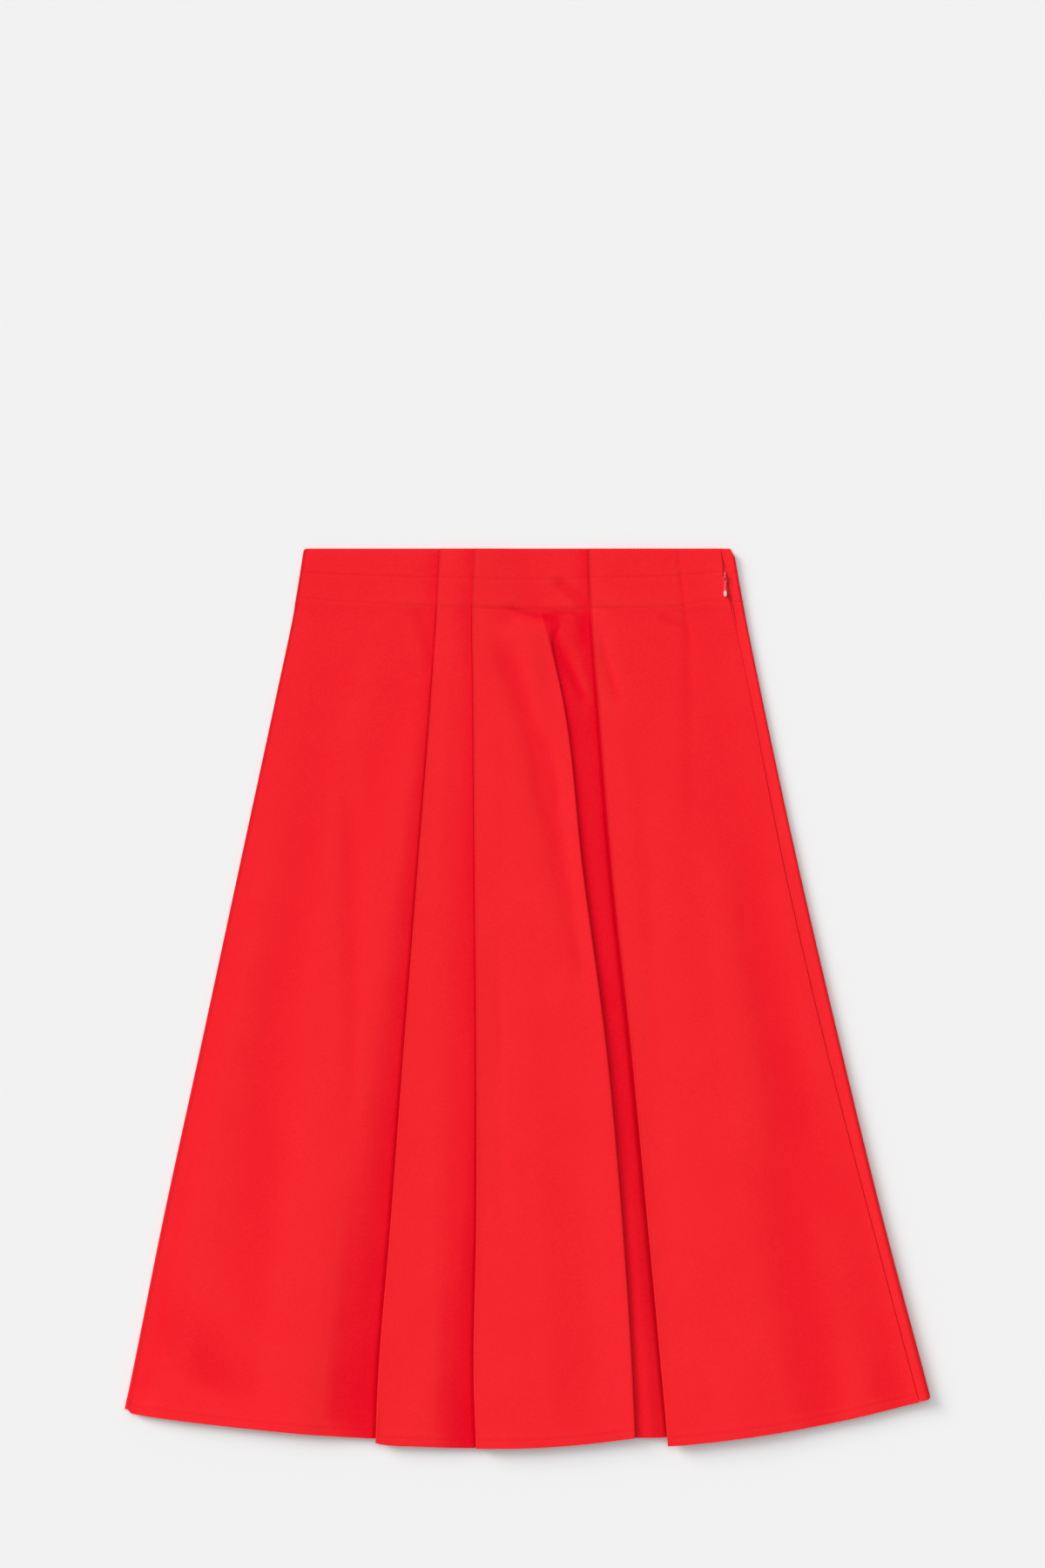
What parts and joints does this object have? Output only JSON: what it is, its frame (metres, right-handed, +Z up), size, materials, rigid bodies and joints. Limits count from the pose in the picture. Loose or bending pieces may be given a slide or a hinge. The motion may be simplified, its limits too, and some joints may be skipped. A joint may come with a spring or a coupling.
{
  "type": "pleated A-line midi skirt",
  "caption": "Pleated A-line midi skirt laid flat, with knife pleats pressed from the waist edge, topstitched waist and an invisible side zip with a hinged pull tab.",
  "frame": {"origin": "under the middle of the laid-out skirt's box, on the surface it lies on", "axes": "+Y runs from the hem to the waist, +X to the right of the skirt as it is seen, towards the zip, and +Z up from the surface it lies on"},
  "size_m": [0.656, 0.7338, 0.0111],
  "materials": {
    "skirt_cloth": "fine matt twill with a soft sheen",
    "zip_tape": "matt woven tape",
    "zip_metal": "gloss paint"
  },
  "bodies": {
    "skirt": {"front": "skirt_cloth", "back": "skirt_cloth", "zip_tape": "zip_tape", "zip_slider": "zip_metal"},
    "pull": {"zip_pull": "zip_metal"}
  },
  "joints": [
    {"name": "pull_swing", "type": "hinge", "parent": "skirt", "child": "pull", "pos_m": [0.16105, 0.34355, 0.0057], "axis": [-1, 0, 0], "range_deg": [0, 170]}
  ]
}
